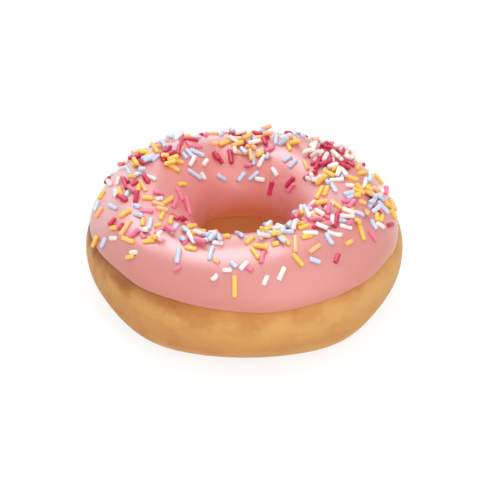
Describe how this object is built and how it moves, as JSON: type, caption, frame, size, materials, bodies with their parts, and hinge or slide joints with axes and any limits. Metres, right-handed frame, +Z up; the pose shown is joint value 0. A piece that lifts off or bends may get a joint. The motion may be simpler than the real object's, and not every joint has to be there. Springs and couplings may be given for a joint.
{
  "type": "sprinkle frosted doughnut",
  "caption": "Ring doughnut of fried dough with a flat foot, capped with smooth pink icing scattered with short sugar sprinkles.",
  "frame": {"origin": "at the middle of the ring's outline, 0.7 mm in front of the middle of the hole, at the level that the doughnut rests on", "axes": "+Z up through the hole, -Y to the front, +X to the right seen from the front"},
  "size_m": [0.0885, 0.0881, 0.0362],
  "materials": {
    "dough": "fried dough, golden brown and smooth, paler in a band round its side",
    "icing": "set pink icing with a soft sheen"
  },
  "bodies": {
    "root": {"dough_ring": "dough", "icing": "icing"}
  },
  "joints": []
}
